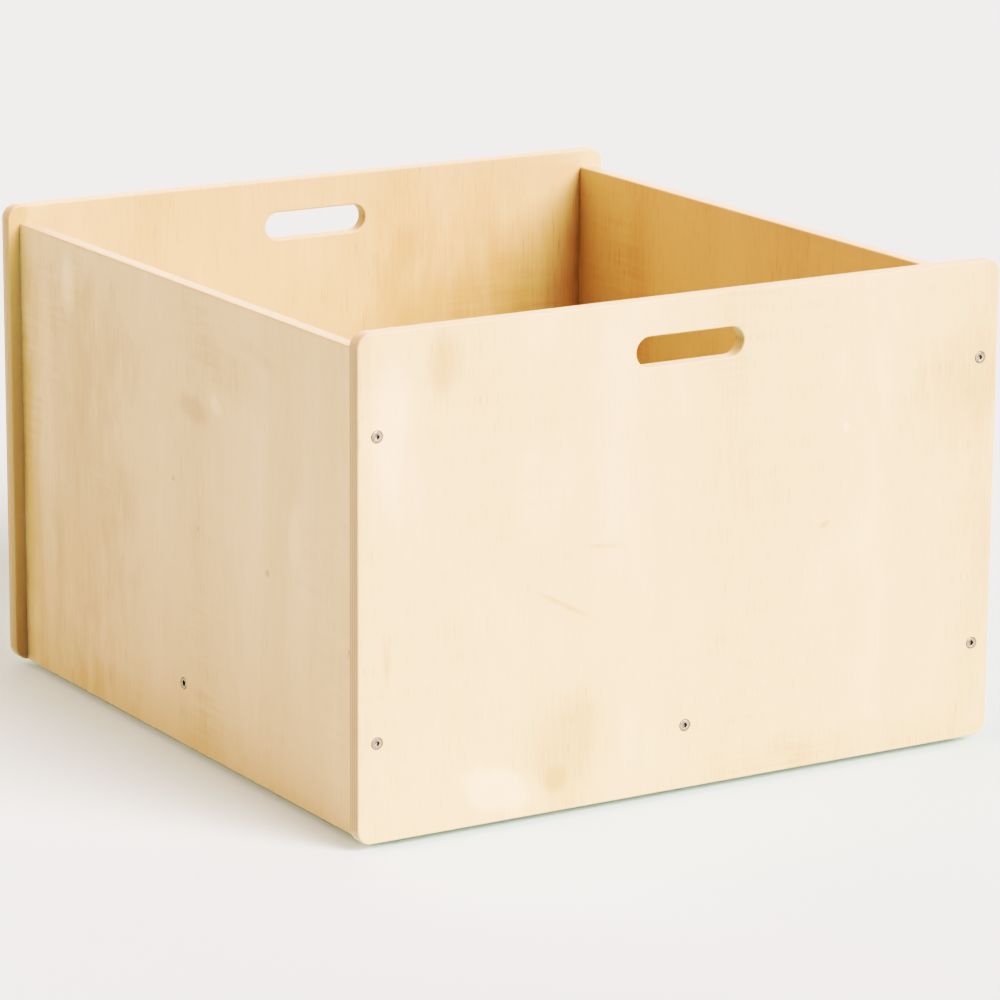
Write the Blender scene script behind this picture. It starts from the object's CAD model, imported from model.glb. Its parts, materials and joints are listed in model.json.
"""The looks of a rolling storage bin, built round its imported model.

Lengths are in metres where nothing else is said, and angles in degrees.
"""

import json
import math

import bmesh
import bpy
from mathutils import Matrix, Vector


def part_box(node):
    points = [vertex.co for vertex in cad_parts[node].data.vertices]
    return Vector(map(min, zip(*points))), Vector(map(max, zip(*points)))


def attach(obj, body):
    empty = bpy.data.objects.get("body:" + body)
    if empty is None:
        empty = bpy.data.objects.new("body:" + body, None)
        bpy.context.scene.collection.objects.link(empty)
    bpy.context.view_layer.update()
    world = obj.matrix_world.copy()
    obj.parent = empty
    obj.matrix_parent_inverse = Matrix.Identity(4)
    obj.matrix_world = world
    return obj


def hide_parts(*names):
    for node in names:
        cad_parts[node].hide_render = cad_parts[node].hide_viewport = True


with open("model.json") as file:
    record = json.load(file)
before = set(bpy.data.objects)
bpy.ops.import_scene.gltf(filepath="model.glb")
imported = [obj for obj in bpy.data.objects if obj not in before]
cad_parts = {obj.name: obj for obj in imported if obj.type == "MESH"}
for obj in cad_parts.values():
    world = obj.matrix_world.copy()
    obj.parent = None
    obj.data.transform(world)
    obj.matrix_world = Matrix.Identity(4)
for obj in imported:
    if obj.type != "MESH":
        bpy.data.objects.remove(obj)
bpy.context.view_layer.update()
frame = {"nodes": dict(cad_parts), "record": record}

MM = 0.001
X, Y, Z = 0, 1, 2

# The camera without a lens shift that comes nearest to the photograph's lines, with the whole bin in its
# frame. Yaw turns from +Y towards +X, and pitch looks down.
CAMERA_PLACE = (-2.0120, -3.3096, 1.1468)
CAMERA_YAW = 31.466
CAMERA_PITCH = 14.070
CAMERA_ROLL = 0.374
CAMERA_LENS_MM = 171.12
CAMERA_SENSOR_MM = 36.0
CAMERA_REACH = 200.0

# Studio light: a warm key from the front, a weak lamp from above, a low one from behind that brightens the
# level edges, a fill from the left and behind, and the room. For each lamp: azimuth, where 0 is the front and
# 90 the right, elevation, the angle that it fills in the sky, strength and colour.
LAMPS = {
    "key_light": (20.0, 30.0, 40.0, 2.72, (1.0, 0.66, 0.64)),
    "top_light": (0.0, 90.0, 40.0, 0.42, (1.0, 0.72, 0.68)),
    "rim_light": (149.0, 14.0, 50.0, 0.8, (1.0, 0.80, 0.68)),
    "fill_light": (-120.0, 30.0, 60.0, 1.02, (1.0, 0.47, 0.415)),
}
ROOM_COLOUR = (1.0, 0.70, 0.68)
ROOM_STRENGTH = 0.025
BACKDROP_COLOUR = (0.74, 0.74, 0.74)
FLOOR_SIZE = 60.0
FLOOR_COLOUR = (0.62, 0.955, 0.995)
FLOOR_GLOW = 0.06
FLOOR_GLOW_COLOUR = (1.0, 0.62, 0.62)

# The print's tones, as pairs of what goes in and what comes out. Green and blue are lifted a little in the
# shadows first. Then FILM_TONES turns the light in each channel into a share of white.
FILM_GREEN = ((0.0, 0.0), (0.03, 0.031), (0.08, 0.098), (0.2, 0.214), (0.5, 0.5), (1.0, 1.0))
FILM_BLUE = ((0.0, 0.0), (0.03, 0.033), (0.08, 0.094), (0.2, 0.200), (0.5, 0.5), (1.0, 1.0))
FILM_TONES = (
    (0.0, 0.0), (0.025, 0.007), (0.075, 0.062), (0.19, 0.42), (0.375, 0.715), (0.625, 0.895), (1.0, 0.985),
)

# Plywood: the number of plies in a panel, and colours as shares of light that they give back
PLY_COUNT = 9
VENEER_PALE = (0.79, 0.715, 0.525)
VENEER_MID = (0.71, 0.63, 0.425)
VENEER_DARK = (0.60, 0.48, 0.285)
END_GRAIN_UPRIGHT = (0.43, 0.37, 0.24)
END_GRAIN_LEVEL = (0.84, 0.83, 0.63)
GLUE = (0.42, 0.31, 0.19)

# What can be told apart in the veneers of the front, the left side and the back's inner face. For each mark,
# in millimetres from the middle of the floor: place across, height, half width and half height. Then its
# slope, and its shade, which is below 0 where the wood is paler.
FRONT_MARKS = (
    (-272, 330, 28, 90, 0.0, -0.45),
    (-223, 376, 22, 36, 0.0, 0.30),
    (240, 300, 70, 70, 0.0, 0.22),
    (150, 284, 3, 5, 0.0, -0.9),
    (-118, 58, 58, 76, 0.0, 0.27),
    (-121, 33, 14, 14, 0.0, 0.28),
    (-150, 345, 60, 50, 0.0, 0.15),
    (-172, 32, 46, 25, -0.3, -0.6),
    (-273, 151, 6, 28, 0.0, 0.25),
    (-76, 215, 26, 3, -0.11, 0.35),
    (-115, 173, 36, 4, -0.54, 0.35),
    (131, 206, 8, 4, 0.3, 0.40),
    (150, 16, 150, 26, 0.0, 0.25),
)
LEFT_MARKS = (
    (202, 356, 15, 34, 0.0, -0.6),
    (247, 200, 22, 220, 0.0, -0.25),
    (283, 200, 14, 220, 0.0, 0.15),
    (130, 330, 120, 90, 0.0, 0.15),
    (220, 190, 190, 280, 0.0, 0.38),
    (-85, 335, 65, 30, 0.15, 0.28),
    (-20, 292, 42, 14, 0.1, 0.25),
    (-60, 303, 14, 9, 0.3, -0.45),
    (-130, 356, 42, 9, 0.2, 0.28),
    (-188, 223, 11, 30, 0.0, -0.45),
    (-144, 184, 3.5, 3.5, 0.0, 1.2),
    (-274, 151, 3, 3, 0.0, 1.2),
    (14, 227, 3, 3, 0.0, 0.6),
    (-28, 194, 3, 3, 0.0, 0.6),
    (0, 18, 320, 42, 0.0, 0.12),
    (-170, 230, 170, 220, 0.0, -0.2),
)
BACK_MARKS = (
    (-291, 200, 18, 330, 0.0, 1.0),
    (140, 230, 260, 190, 0.0, 0.3),
)

# Fittings: a colour, then the colour of the dull, worn or dusty spots, then a metal's roughness
SCREW_ZINC = ((0.50, 0.475, 0.43), (0.36, 0.335, 0.30), 0.40)
SCREW_RECESS = ((0.26, 0.24, 0.22), (0.17, 0.155, 0.14), 0.5)
SHEET_ZINC = ((0.72, 0.74, 0.77), (0.56, 0.57, 0.58), 0.30)
BLACK_NYLON = ((0.018, 0.018, 0.020), (0.06, 0.06, 0.062))
GREY_RUBBER = ((0.115, 0.12, 0.125), (0.30, 0.29, 0.27))
# Ground steel has a haze instead of spots
GROUND_STEEL = ((0.66, 0.66, 0.67), 0.16)

# In millimetres: how far a caster's piece stands clear of the one inside it, and how wide edges are eased
CORE_CLEARANCE = 0.08
TYRE_CLEARANCE = 0.04
BLOCK_EASING = 0.3
PLATE_EASING = 0.35
FORK_EASING = 0.4
WASHER_EASING = 0.2
SLEEVE_EASING = 0.25

# A panel screw in millimetres: the width of the gap round its head, the depth below the head's face at which
# the steel turns dark, and the depth of the socket
SCREW_GAP = 0.75
RECESS_DEPTH = 0.15
SOCKET_DEPTH = 2.2

# Vertices of a CAD mesh this close, in millimetres, are one vertex, and faces within this angle are one face
SAME_PLACE = 0.001
SAME_PLANE = math.radians(0.5)

# Turned and hexagonal pieces are rings of this many points. It can be divided by 6, which keeps a hexagon's
# corners, and by 4, which makes the arms of a cross alike.
RING_POINTS = 48

# Edges that meet at more than this angle stay sharp
SHARP_ANGLE = math.radians(35)

BODY_OF = {node: body for body, nodes in frame["record"]["behaviour"]["bodies"].items() for node in nodes}
CASTERS = ("front_left", "front_right", "back_left", "back_right")


class Finish:
    """A material's nodes. A value given to its calls is a number, a colour or another node's output."""

    def __init__(self, name):
        self.material = bpy.data.materials.new(name)
        self.material.use_nodes = True
        self.tree = self.material.node_tree
        self.shader = self.tree.nodes["Principled BSDF"]

    def join(self, value, socket):
        if isinstance(value, bpy.types.NodeSocket):
            self.tree.links.new(value, socket)
        elif isinstance(value, tuple) and len(value) == 3 and len(socket.default_value) == 4:
            socket.default_value = (*value, 1.0)
        else:
            socket.default_value = value

    def add(self, kind, settings=None, **inputs):
        node = self.tree.nodes.new("ShaderNode" + kind)
        for name, value in (settings or {}).items():
            setattr(node, name, value)
        for name, value in inputs.items():
            self.join(value, node.inputs[name.replace("_", " ")])
        return node

    def calc(self, operation, *values, clamp=False):
        node = self.add("Math", {"operation": operation, "use_clamp": clamp})
        for value, socket in zip(values, node.inputs):
            self.join(value, socket)
        return node.outputs[0]

    def point(self, x, y, z):
        return self.add("CombineXYZ", X=x, Y=y, Z=z).outputs[0]

    def noise(self, place, scale=1.0, detail=2.0, rough=0.5, bend=0.0):
        node = self.add(
            "TexNoise", Vector=place, Scale=scale, Detail=detail, Roughness=rough, Distortion=bend
        )
        return node.outputs["Fac"]

    def blend(self, share, first, second):
        node = self.tree.nodes.new("ShaderNodeMix")
        node.data_type = "RGBA"
        for value, index in ((share, 0), (first, 6), (second, 7)):
            self.join(value, node.inputs[index])
        return node.outputs[2]

    def ramp(self, value, low, high):
        """0 below low, 1 above high, and smooth between them. low may be the larger one."""
        node = self.add("MapRange", {"interpolation_type": "SMOOTHSTEP"}, Value=value)
        node.inputs["From Min"].default_value = low
        node.inputs["From Max"].default_value = high
        return node.outputs["Result"]

    def patch(self, across, height, mark, unevenness):
        """1 in the middle of an oval mark and 0 outside it, with a soft and uneven edge."""
        middle, middle_height, half_width, half_height, slope, _ = mark
        from_middle = self.calc("SUBTRACT", across, middle * MM)
        from_height = self.calc("SUBTRACT", height, middle_height * MM)
        rise = self.calc("MULTIPLY_ADD", from_middle, -slope, from_height)
        reach = self.point(
            self.calc("DIVIDE", from_middle, half_width * MM),
            self.calc("DIVIDE", rise, half_height * MM),
            0.0,
        )
        length = self.add("VectorMath", {"operation": "LENGTH"})
        self.join(reach, length.inputs[0])
        return self.ramp(self.calc("ADD", length.outputs["Value"], unevenness), 1.1, 0.2)

    def shade(self, **values):
        for name, value in values.items():
            self.join(value, self.shader.inputs[name.replace("_", " ")])

    def bump(self, height, depth):
        node = self.add("Bump", Height=height, Distance=depth, Strength=1.0)
        self.join(node.outputs[0], self.shader.inputs["Normal"])


def birch_plywood(name, node, depth_axis, grain_axis, seed, marks=()):
    """Lacquered birch plywood as a solid, whose colour changes with depth, so that edges show the plies."""
    f = Finish(name)
    low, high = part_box(node)
    across_axis = X + Y + Z - depth_axis - grain_axis
    coordinates = f.add("TexCoord").outputs
    axes = f.add("SeparateXYZ", Vector=coordinates["Object"]).outputs
    facing = f.add("SeparateXYZ", Vector=coordinates["Normal"]).outputs
    grain, across = axes[grain_axis], axes[across_axis]
    thickness = high[depth_axis] - low[depth_axis]
    depth = f.calc("DIVIDE", f.calc("SUBTRACT", axes[depth_axis], low[depth_axis]), thickness)
    layer = f.calc("MULTIPLY", depth, PLY_COUNT)
    odd = f.calc("MODULO", f.calc("FLOOR", layer), 2.0)
    outer_leaf = f.calc("LESS_THAN", depth, 0.5)
    leaf = f.calc("MULTIPLY_ADD", outer_leaf, 7.3, seed)

    def grown(across_scale, grain_scale, detail, bend=0.0):
        """Unevenness round 0 in the wood, with its scales across and along the grain, per metre."""
        spot_across = f.calc("MULTIPLY", across, across_scale)
        spot_along = f.calc("MULTIPLY", grain, grain_scale)
        spot = f.point(spot_across, spot_along, leaf)
        return f.calc("SUBTRACT", f.noise(spot, detail=detail, bend=bend), 0.5)

    rings = f.calc("SINE", f.calc("MULTIPLY", grown(5.0, 1.3, 3.0, 0.4), 90.0))
    fibre = grown(900.0, 14.0, 2.0)
    ripple = f.calc("MULTIPLY", grown(18.0, 190.0, 1.0), f.ramp(grown(6.0, 6.0, 0.0), 0.0, 0.2))
    pore = f.ramp(grown(1500.0, 45.0, 0.0), 0.18, 0.26)
    cloud = grown(22.0, 9.0, 3.0)
    tone = f.calc("MULTIPLY_ADD", grown(9.0, 0.8, 2.0), 0.9, 0.45)
    for variation, share in ((cloud, 0.38), (rings, 0.03), (fibre, 0.3), (ripple, 0.35), (pore, 0.25)):
        tone = f.calc("MULTIPLY_ADD", variation, share, tone)
    unevenness = f.calc("MULTIPLY", grown(60.0, 30.0, 2.0), 0.6)
    for mark in marks:
        share = f.calc("MULTIPLY", f.patch(across, grain, mark, unevenness), outer_leaf)
        tone = f.calc("MULTIPLY_ADD", share, mark[-1], tone)
    tone = f.calc("ADD", tone, 0.0, clamp=True)
    lighter_half = f.blend(f.ramp(tone, 0.0, 0.5), VENEER_PALE, VENEER_MID)
    veneer = f.blend(f.ramp(tone, 0.5, 1.0), lighter_half, VENEER_DARK)

    ends_even = f.calc("ABSOLUTE", facing[grain_axis])
    ends_odd = f.calc("ABSOLUTE", facing[across_axis])
    ends = f.calc("MULTIPLY_ADD", odd, f.calc("SUBTRACT", ends_odd, ends_even), ends_even)
    specks = f.noise(coordinates["Object"], scale=1400.0, detail=1.0)
    cut = f.ramp(f.calc("MAXIMUM", ends_even, ends_odd), 0.3, 0.9)
    roughened = f.calc("MULTIPLY_ADD", f.ramp(ends, 0.3, 0.9), 0.65, f.calc("MULTIPLY", cut, 0.35))
    end_share = f.calc("MULTIPLY", roughened, f.calc("MULTIPLY_ADD", specks, 0.5, 0.6), clamp=True)
    wood = f.blend(end_share, veneer, f.blend(ends_even, END_GRAIN_UPRIGHT, END_GRAIN_LEVEL))
    from_line = f.calc("ABSOLUTE", f.calc("SUBTRACT", layer, f.calc("ROUND", layer)))
    past_first = f.calc("GREATER_THAN", layer, 0.5)
    before_last = f.calc("LESS_THAN", layer, PLY_COUNT - 0.5)
    inside = f.calc("MULTIPLY", past_first, before_last)
    line = f.calc("MULTIPLY", f.ramp(from_line, 0.07, 0.03), inside)
    colour = f.blend(f.calc("MULTIPLY", line, f.calc("MULTIPLY_ADD", ends_even, -0.3, 0.5)), wood, GLUE)

    gloss = f.calc("MULTIPLY_ADD", fibre, 0.12, f.calc("MULTIPLY_ADD", end_share, 0.2, 0.42))
    height = f.calc("SUBTRACT", f.calc("MULTIPLY", fibre, 0.35), f.calc("MULTIPLY", pore, 0.6))
    height = f.calc("SUBTRACT", height, line)
    f.shade(Base_Color=colour, Roughness=gloss, IOR=1.5, Coat_Weight=0.12, Coat_Roughness=0.3)
    f.bump(height, 0.00003)
    return f.material


def plated_steel(name, colour, dull_colour, roughness):
    """Zinc-plated steel: cloudy, with the grain of the pressed sheet and a few duller spots."""
    f = Finish(name)
    place = f.add("TexCoord").outputs["Object"]
    cloud = f.noise(place, scale=260.0, detail=4.0, rough=0.6)
    spots = f.ramp(f.noise(place, scale=900.0, detail=2.0), 0.58, 0.72)
    grain = f.noise(place, scale=6000.0, detail=1.0)
    dull = f.calc("MULTIPLY_ADD", spots, 0.45, f.ramp(cloud, 0.4, 0.75), clamp=True)
    f.shade(
        Base_Color=f.blend(dull, colour, dull_colour),
        Metallic=1.0,
        Roughness=f.calc("MULTIPLY_ADD", dull, 0.16, f.calc("MULTIPLY_ADD", grain, 0.08, roughness)),
    )
    f.bump(f.calc("MULTIPLY_ADD", grain, 0.5, cloud), 0.000008)
    return f.material


def polished_steel(name, colour, roughness):
    """Hardened steel, ground bright, with an even haze of fine scratches."""
    f = Finish(name)
    place = f.add("TexCoord").outputs["Object"]
    scratches = f.noise(place, scale=3500.0, detail=3.0, rough=0.7, bend=1.5)
    haze = f.noise(place, scale=150.0, detail=2.0)
    f.shade(
        Base_Color=f.blend(haze, colour, tuple(0.82 * c for c in colour)),
        Metallic=1.0,
        Roughness=f.calc("MULTIPLY_ADD", scratches, 0.14, roughness),
    )
    f.bump(scratches, 0.000003)
    return f.material


def moulded_plastic(name, colour, worn_colour):
    """Nylon with a fine moulded texture, a little paler where it is rubbed."""
    f = Finish(name)
    place = f.add("TexCoord").outputs["Object"]
    texture = f.noise(place, scale=2600.0, detail=2.0)
    rubbed = f.ramp(f.noise(place, scale=180.0, detail=4.0, rough=0.65), 0.5, 0.8)
    f.shade(
        Base_Color=f.blend(f.calc("MULTIPLY", rubbed, 0.6), colour, worn_colour),
        Roughness=f.calc("MULTIPLY_ADD", texture, 0.2, 0.36),
        IOR=1.53,
    )
    f.bump(texture, 0.00002)
    return f.material


def soft_rubber(name, colour, dust_colour):
    """Matt rubber that has picked up some dust from the floor."""
    f = Finish(name)
    place = f.add("TexCoord").outputs["Object"]
    skin = f.noise(place, scale=1800.0, detail=3.0)
    mottle = f.noise(place, scale=90.0, detail=4.0, rough=0.6)
    dust = f.ramp(f.calc("MULTIPLY_ADD", skin, 0.5, mottle), 0.72, 1.0)
    f.shade(
        Base_Color=f.blend(f.calc("MULTIPLY", dust, 0.7), colour, dust_colour),
        Roughness=f.calc("MULTIPLY_ADD", mottle, 0.15, 0.7),
        IOR=1.5,
    )
    f.bump(skin, 0.00003)
    return f.material


def round_reach(angle):
    return 1.0


def hexagon_reach(angle):
    """How far a hexagon reaches whose flats lie at 1 from its middle."""
    side = math.radians(60)
    return 1 / math.cos(angle % side - side / 2)


def cross_reach(angle):
    """How far a cross reaches whose arms are 1 long and 0.3 wide."""
    quarter = math.radians(90)
    off = abs((angle + quarter / 2) % quarter - quarter / 2)
    return min(1 / math.cos(off), 0.15 / max(math.sin(off), 0.01))


class Build:
    """A closed mesh under construction. Rings and boxes are in millimetres, in a place of their own."""

    def __init__(self):
        self.mesh = bmesh.new()

    def turn(self, place, rings, hollow=False):
        """Joins rings round Z, each a reach, a radius and a height. Closes the ends, or a hollow's loop."""
        loops = []
        for reach, radius, height in rings:
            loop = []
            for i in range(RING_POINTS):
                angle = 2 * math.pi * i / RING_POINTS
                far = radius * reach(angle)
                point = place @ Vector((far * math.cos(angle), far * math.sin(angle), height))
                loop.append(self.mesh.verts.new(point))
            loops.append(loop)
        pairs = list(zip(loops, loops[1:]))
        faces = []
        if hollow:
            pairs.append((loops[-1], loops[0]))
        else:
            faces.append(self.mesh.faces.new(list(reversed(loops[0]))))
            faces.append(self.mesh.faces.new(loops[-1]))
        for lower, upper in pairs:
            for i in range(RING_POINTS):
                after = (i + 1) % RING_POINTS
                faces.append(self.mesh.faces.new((lower[i], lower[after], upper[after], upper[i])))
        return faces

    def block(self, place, low, high):
        """A box between two corners, with eased edges."""
        low, high = Vector(low), Vector(high)
        middle = Matrix.Translation((low + high) / 2) @ Matrix.Diagonal((*(high - low), 1.0))
        made = bmesh.ops.create_cube(self.mesh, size=1.0, matrix=place @ middle)
        edges = list(dict.fromkeys(edge for vert in made["verts"] for edge in vert.link_edges))
        bmesh.ops.bevel(self.mesh, geom=edges, offset=BLOCK_EASING * MM, segments=2, affect="EDGES")

    def copy(self, node):
        """The CAD node's own shape, with each flat face whole again."""
        self.mesh.from_mesh(frame["nodes"][node].data)
        bmesh.ops.remove_doubles(self.mesh, verts=self.mesh.verts, dist=SAME_PLACE * MM)
        bmesh.ops.dissolve_limit(
            self.mesh, angle_limit=SAME_PLANE, verts=self.mesh.verts, edges=self.mesh.edges
        )

    def piece(self, node, material, recess=None):
        """Shows the mesh in place of a CAD node, and lets it move with that node's body."""
        bmesh.ops.recalc_face_normals(self.mesh, faces=self.mesh.faces)
        name = node + "_detailed"
        mesh = bpy.data.meshes.new(name)
        self.mesh.to_mesh(mesh)
        self.mesh.free()
        mesh.shade_smooth()
        mesh.set_sharp_from_angle(angle=SHARP_ANGLE)
        mesh.materials.append(material)
        if recess:
            mesh.materials.append(recess)
        thing = bpy.data.objects.new(name, mesh)
        bpy.context.scene.collection.objects.link(thing)
        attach(thing, BODY_OF[node])
        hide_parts(node)
        return thing


def solids(node):
    """The lowest and the highest corner of each separate solid of a CAD node."""
    mesh = bmesh.new()
    mesh.from_mesh(frame["nodes"][node].data)
    bmesh.ops.remove_doubles(mesh, verts=mesh.verts, dist=SAME_PLACE * MM)
    left = set(mesh.verts)
    boxes = []
    while left:
        group = [left.pop()]
        for vert in group:
            near = {edge.other_vert(vert) for edge in vert.link_edges} & left
            left -= near
            group.extend(near)
        low = tuple(round(min(vert.co[axis] for vert in group), 6) for axis in (X, Y, Z))
        high = tuple(round(max(vert.co[axis] for vert in group), 6) for axis in (X, Y, Z))
        boxes.append((low, high))
    mesh.free()
    return [(Vector(low), Vector(high)) for low, high in sorted(boxes)]


def standing(low, high, axis, up):
    """Where a solid stands: millimetres along its own Z axis, from the end that lies up that way."""
    outward = Vector((0.0, 0.0, 0.0))
    outward[axis] = up
    foot = (low + high) / 2
    foot[axis] = high[axis] if up > 0 else low[axis]
    turned = outward.to_track_quat("Z", "Y").to_matrix().to_4x4()
    return Matrix.Translation(foot) @ turned @ Matrix.Scale(MM, 4)


def thread(from_z, to_z, crest, root, pitch):
    """The rings of a wood screw's thread, from the lower height to the upper one."""
    rings = []
    for turn in range(int((to_z - from_z) / pitch)):
        start = from_z + turn * pitch
        for radius, share in ((root, 0.0), (root, 0.45), (crest, 0.68), (crest, 0.76)):
            rings.append((round_reach, radius, start + share * pitch))
    return rings


def screw_point(length, shank):
    """The first rings of a screw, from its tip to where the thread is full."""
    return [(round_reach, 0.15 * shank, -length), (round_reach, 0.7 * shank, 1.4 * shank - length)]


def socket_screw(build, low, high, axis, up):
    """A countersunk screw with a hexagon socket. The sides of its head have the recess's dark material."""
    across = (axis + 1) % 3
    head = (high[across] - low[across]) / 2 / MM
    length = (high[axis] - low[axis]) / MM
    rim = head - SCREW_GAP
    shank = head / 2.1
    cone_foot = shank - head
    socket = 0.38 * head
    place = standing(low, high, axis, up)
    faces = build.turn(place, [
        *screw_point(length, shank),
        *thread(1.8 * shank - length, -0.36 * length, shank, 0.76 * shank, 2.2),
        (round_reach, 0.86 * shank, -0.35 * length),
        (round_reach, 0.86 * shank, cone_foot - 0.5),
        (round_reach, 0.98 * shank, cone_foot),
        (round_reach, head - 0.05, -0.6),
        (round_reach, head - 0.05, -0.35),
        (round_reach, rim, -0.4),
        (round_reach, rim, -0.2),
        (round_reach, rim - 0.12, -0.08),
        (round_reach, rim - 0.42, -0.02),
        (round_reach, rim - 0.9, 0.0),
        (round_reach, 1.2 * socket, 0.0),
        (hexagon_reach, socket, -0.2),
        (hexagon_reach, 0.98 * socket, -SOCKET_DEPTH),
        (round_reach, 0.6 * socket, -SOCKET_DEPTH - 0.2),
    ])
    from_place = place.inverted()
    for face in faces:
        middle = from_place @ face.calc_center_median()
        if middle.z < -RECESS_DEPTH and middle.xy.length > 1.3 * socket:
            face.material_index = 1


def add_panel_screws(material, recess):
    for node, axis, up in (
        ("front_panel_screws", Y, -1),
        ("back_panel_screws", Y, 1),
        ("left_side_screw", X, -1),
        ("right_side_screw", X, 1),
    ):
        build = Build()
        for low, high in solids(node):
            socket_screw(build, low, high, axis, up)
        build.piece(node, material, recess)


def add_plate_screws(caster, material):
    """Pan-head wood screws with a cross recess, driven up into the base."""
    node = caster + "_plate_screws"
    build = Build()
    for low, high in solids(node):
        head = (high.x - low.x) / 2 / MM
        length = (high.z - low.z) / MM
        shank = 0.53 * head
        build.turn(standing(low, high, Z, -1), [
            *screw_point(length, shank),
            *thread(1.8 * shank - length, -2.9, shank, 0.76 * shank, 1.6),
            (round_reach, 0.9 * shank, -2.4),
            (round_reach, head, -2.4),
            (round_reach, head, -1.7),
            (round_reach, 0.94 * head, -0.9),
            (round_reach, 0.82 * head, -0.3),
            (round_reach, 0.66 * head, 0.0),
            (round_reach, 0.56 * head, 0.0),
            (cross_reach, 0.5 * head, -0.12),
            (cross_reach, 0.34 * head, -1.4),
        ])
    build.piece(node, material)


def add_kingpin(caster, material):
    """The rivet that the fork swivels on: a dimpled domed head below, and a flare in the plate."""
    node = caster + "_kingpin"
    low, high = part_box(node)
    head = (high.x - low.x) / 2 / MM
    height = (high.z - low.z) / MM
    shank = head - 2.5
    foot = Vector(((low.x + high.x) / 2, (low.y + high.y) / 2, low.z))
    build = Build()
    build.turn(Matrix.Translation(foot) @ Matrix.Scale(MM, 4), [
        (round_reach, 0.10 * head, 0.6),
        (round_reach, 0.24 * head, 0.15),
        (round_reach, 0.36 * head, 0.0),
        (round_reach, 0.62 * head, 0.2),
        (round_reach, 0.84 * head, 0.75),
        (round_reach, 0.97 * head, 1.5),
        (round_reach, head, 2.0),
        (round_reach, 0.98 * head, 2.4),
        (round_reach, shank, 2.4),
        (round_reach, shank, height - 1.0),
        (round_reach, shank + 1.0, height),
    ])
    build.piece(node, material)


def add_axle_bolt(caster, material):
    """A hexagon bolt with a chamfered head, threaded where the nut grips it."""
    node = caster + "_axle_bolt"
    low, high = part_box(node)
    length = (high.x - low.x) / MM
    head = (high.y - low.y) / 2 / MM
    shank = 0.625 * head
    threads = [
        (round_reach, radius, start + share)
        for start in (length - 7.0 + 0.8 * turn for turn in range(8))
        for radius, share in ((shank, 0.0), (0.86 * shank, 0.4))
    ]
    build = Build()
    build.turn(standing(low, high, X, -1) @ Matrix.Diagonal((1, 1, -1, 1)), [
        (round_reach, 0.86 * head, 0.0),
        (hexagon_reach, head, 0.5),
        (hexagon_reach, head, 2.8),
        (hexagon_reach, 0.97 * head, 3.0),
        (round_reach, shank, 3.0),
        *threads,
        (round_reach, 0.76 * shank, length),
    ])
    build.piece(node, material)


def add_lock_nut(caster, material):
    """A hexagon nut with the round collar that holds its locking ring."""
    node = caster + "_lock_nut"
    low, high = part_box(node)
    height = (high.x - low.x) / MM
    flats = (high.y - low.y) / 2 / MM
    bore = 0.635 * flats
    build = Build()
    build.turn(standing(low, high, X, -1) @ Matrix.Diagonal((1, 1, -1, 1)), [
        (round_reach, bore, 0.0),
        (round_reach, 0.92 * flats, 0.0),
        (hexagon_reach, flats, 0.4),
        (hexagon_reach, flats, height - 1.4),
        (round_reach, 0.94 * flats, height - 1.0),
        (round_reach, 0.92 * flats, height - 0.4),
        (round_reach, 0.84 * flats, height),
        (round_reach, 0.72 * flats, height),
        (round_reach, bore, height - 0.3),
    ], hollow=True)
    build.piece(node, material)


def on_axle(node):
    """The middle of a wheel's part, with millimetres along its own Z axis, which lies along the axle."""
    low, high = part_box(node)
    turned = Matrix.Rotation(math.radians(90), 4, "Y")
    return Matrix.Translation((low + high) / 2) @ turned @ Matrix.Scale(MM, 4), low, high


def add_wheel_core(caster, material):
    """A moulded wheel: a hub, a thin web, ribs on both of its sides, and a rim."""
    node = caster + "_wheel_core"
    place, low, high = on_axle(node)
    rim = (high.z - low.z) / 2 / MM
    half = (high.x - low.x) / 2 / MM
    sleeve_low, sleeve_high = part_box(caster + "_wheel_sleeve")
    bore = (sleeve_high.z - sleeve_low.z) / 2 / MM + CORE_CLEARANCE
    hub = bore + 2.92
    side = [
        (bore, half),
        (hub - 0.3, half),
        (hub, half - 0.3),
        (hub + 0.5, 2.5),
        (rim - 2.9, 2.5),
        (rim - 2.4, half - 1.4),
        (rim - 0.3, half - 1.25),
        (rim, half - 1.6),
    ]
    section = side + [(radius, -z) for radius, z in reversed(side)]
    build = Build()
    build.turn(place, [(round_reach, radius, z) for radius, z in section], hollow=True)
    rib_count = 6
    for i in range(rib_count):
        spoke = place @ Matrix.Rotation(2 * math.pi * i / rib_count, 4, "Z")
        build.block(spoke, (hub - 0.2, -0.8, 2.0 - half), (rim - 2.2, 0.8, half - 2.0))
    build.piece(node, material)


def add_tyre(caster, material):
    """A solid tyre: round shoulders, a shallow groove round its tread and a raised ring on each side."""
    node = caster + "_tyre"
    place, low, high = on_axle(node)
    tread = (high.z - low.z) / 2 / MM
    half = (high.x - low.x) / 2 / MM
    core_low, core_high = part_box(caster + "_wheel_core")
    inner = (core_high.z - core_low.z) / 2 / MM + TYRE_CLEARANCE
    shoulder = 2.45
    arc = [math.radians(angle) for angle in (0, 20, 40, 60, 80, 90)]
    side = [(inner, half - 0.5), (inner + 0.3, half - 0.1), (inner + 0.6, half - 0.1), (inner + 0.8, half)]
    side += [(tread - shoulder * (1 - math.sin(a)), half - shoulder * (1 - math.cos(a))) for a in arc]
    side += [(tread, 1.1), (tread - 0.35, 0.8)]
    section = side + [(radius, -z) for radius, z in reversed(side)]
    build = Build()
    build.turn(place, [(round_reach, radius, z) for radius, z in section], hollow=True)
    build.piece(node, material)


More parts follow.
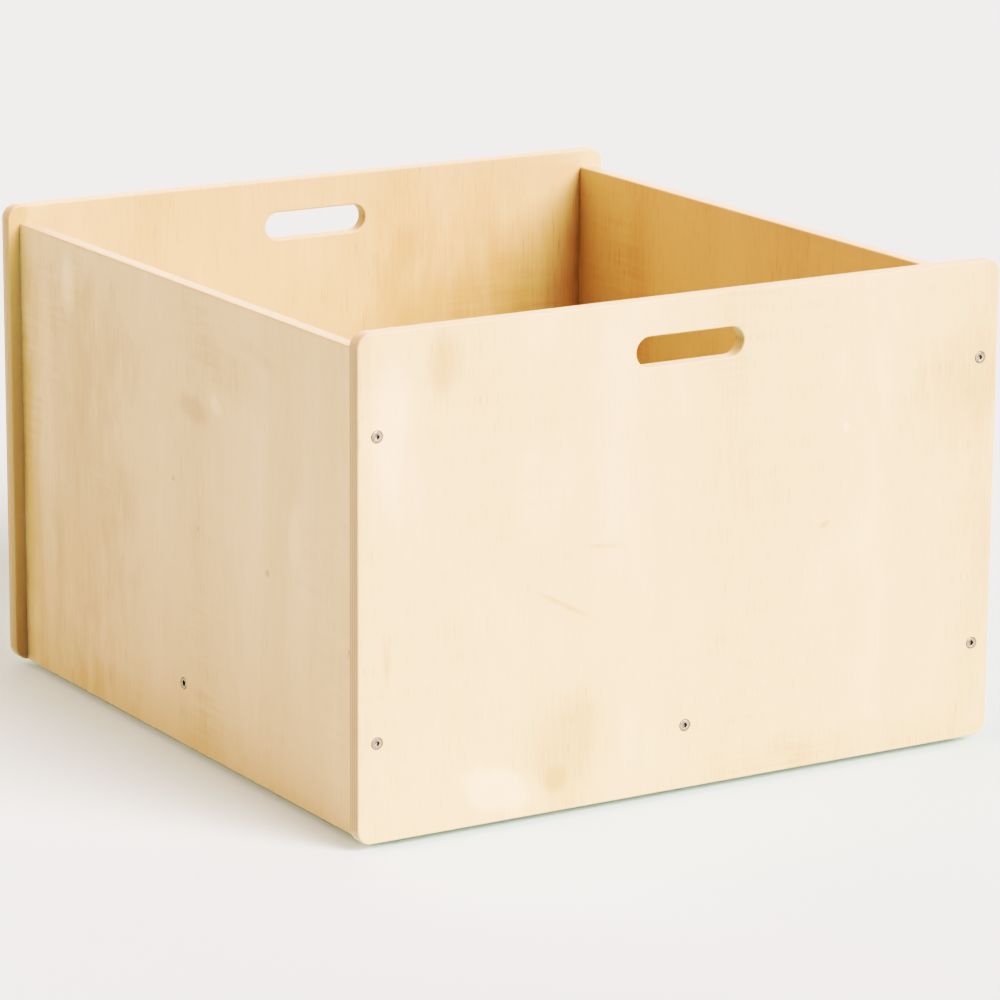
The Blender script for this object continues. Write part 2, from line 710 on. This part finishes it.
def add_pressed_part(node, easing_width, material):
    """A CAD node's own shape with its sharp edges eased, as pressing and tumbling leave them."""
    build = Build()
    build.copy(node)
    thing = build.piece(node, material)
    easing = thing.modifiers.new("eased_edges", "BEVEL")
    easing.width = easing_width * MM
    easing.segments = 2
    easing.limit_method = "ANGLE"
    easing.angle_limit = SHARP_ANGLE


def paint(node, material):
    mesh = frame["nodes"][node].data
    mesh.materials.clear()
    mesh.materials.append(material)


def add_camera():
    yaw, pitch, roll = (math.radians(a) for a in (CAMERA_YAW, CAMERA_PITCH, CAMERA_ROLL))
    ahead = Vector((math.sin(yaw) * math.cos(pitch), math.cos(yaw) * math.cos(pitch), -math.sin(pitch)))
    level_right = Vector((math.cos(yaw), -math.sin(yaw), 0.0))
    level_up = level_right.cross(ahead)
    right = math.cos(roll) * level_right + math.sin(roll) * level_up
    up = math.cos(roll) * level_up - math.sin(roll) * level_right
    camera = bpy.data.objects.new("camera", bpy.data.cameras.new("camera"))
    bpy.context.scene.collection.objects.link(camera)
    camera.data.lens = CAMERA_LENS_MM
    camera.data.sensor_width = CAMERA_SENSOR_MM
    camera.data.clip_end = CAMERA_REACH
    turn = Matrix((right, up, -ahead)).transposed().to_4x4()
    camera.matrix_world = Matrix.Translation(CAMERA_PLACE) @ turn
    bpy.context.scene.camera = camera


def add_sun(name, azimuth, elevation, spread, strength, colour):
    """A light from far away. Azimuth 0 comes from the front (-Y) and 90 from the right (+X)."""
    around, above = math.radians(azimuth), math.radians(elevation)
    source = Vector((
        math.sin(around) * math.cos(above),
        -math.cos(around) * math.cos(above),
        math.sin(above),
    ))
    lamp = bpy.data.objects.new(name, bpy.data.lights.new(name, "SUN"))
    bpy.context.scene.collection.objects.link(lamp)
    lamp.data.energy = strength
    lamp.data.angle = math.radians(spread)
    lamp.data.color = colour
    lamp.rotation_mode = "QUATERNION"
    lamp.rotation_quaternion = source.to_track_quat("Z", "Y")


def add_room():
    """A dim room that lights the bin a little, and a pale backdrop that is seen but gives no light."""
    world = bpy.data.worlds.new("room")
    bpy.context.scene.world = world
    world.use_nodes = True
    nodes = world.node_tree.nodes
    links = world.node_tree.links
    room = nodes["Background"]
    room.inputs["Color"].default_value = (*ROOM_COLOUR, 1.0)
    room.inputs["Strength"].default_value = ROOM_STRENGTH
    backdrop = nodes.new("ShaderNodeBackground")
    backdrop.inputs["Color"].default_value = (*BACKDROP_COLOUR, 1.0)
    seen = nodes.new("ShaderNodeLightPath")
    mix = nodes.new("ShaderNodeMixShader")
    links.new(seen.outputs["Is Camera Ray"], mix.inputs[0])
    links.new(room.outputs[0], mix.inputs[1])
    links.new(backdrop.outputs[0], mix.inputs[2])
    links.new(mix.outputs[0], nodes["World Output"].inputs["Surface"])


def add_floor():
    mesh = bpy.data.meshes.new("floor")
    half = FLOOR_SIZE / 2
    corners = [(-half, -half, 0), (half, -half, 0), (half, half, 0), (-half, half, 0)]
    mesh.from_pydata(corners, [], [(0, 1, 2, 3)])
    floor = bpy.data.objects.new("floor", mesh)
    bpy.context.scene.collection.objects.link(floor)
    f = Finish("floor_white")
    f.shade(
        Base_Color=FLOOR_COLOUR,
        Roughness=0.9,
        Specular_IOR_Level=0.1,
        Emission_Color=FLOOR_GLOW_COLOUR,
        Emission_Strength=FLOOR_GLOW,
    )
    mesh.materials.append(f.material)


def paint_panels():
    panels = (
        ("front_panel", Y, Z, 1.7, FRONT_MARKS),
        ("back_panel", Y, Z, 23.1, BACK_MARKS),
        ("left_side_panel", X, Z, 41.9, LEFT_MARKS),
        ("right_side_panel", X, Z, 67.3, ()),
        ("base_panel", Z, Y, 83.5, ()),
    )
    for node, depth_axis, grain_axis, seed, marks in panels:
        paint(node, birch_plywood("birch_" + node, node, depth_axis, grain_axis, seed, marks))


def add_fittings():
    screw_zinc = plated_steel("screw_zinc", *SCREW_ZINC)
    screw_recess = plated_steel("screw_recess", *SCREW_RECESS)
    sheet_zinc = plated_steel("sheet_zinc", *SHEET_ZINC)
    steel = polished_steel("ground_steel", *GROUND_STEEL)
    plastic = moulded_plastic("black_nylon", *BLACK_NYLON)
    rubber = soft_rubber("grey_rubber", *GREY_RUBBER)
    add_panel_screws(screw_zinc, screw_recess)
    for caster in CASTERS:
        add_plate_screws(caster, steel)
        add_kingpin(caster, sheet_zinc)
        add_axle_bolt(caster, sheet_zinc)
        add_lock_nut(caster, sheet_zinc)
        add_wheel_core(caster, plastic)
        add_tyre(caster, rubber)
        add_pressed_part(caster + "_mounting_plate", PLATE_EASING, sheet_zinc)
        add_pressed_part(caster + "_fork", FORK_EASING, sheet_zinc)
        add_pressed_part(caster + "_thrust_washer", WASHER_EASING, steel)
        add_pressed_part(caster + "_wheel_sleeve", SLEEVE_EASING, steel)
        paint(caster + "_race_balls", steel)


def bend_curve(curve, points):
    curve.points[0].location = points[0]
    curve.points[1].location = points[-1]
    for light, share in points[1:-1]:
        curve.points.new(light, share)


def set_tones():
    view = bpy.context.scene.view_settings
    view.view_transform = "Standard"
    view.use_curve_mapping = True
    _, green, blue, combined = view.curve_mapping.curves
    bend_curve(green, FILM_GREEN)
    bend_curve(blue, FILM_BLUE)
    bend_curve(combined, FILM_TONES)
    view.curve_mapping.update()


add_camera()
add_room()
add_floor()
for lamp_name, lamp in LAMPS.items():
    add_sun(lamp_name, *lamp)
paint_panels()
add_fittings()
set_tones()
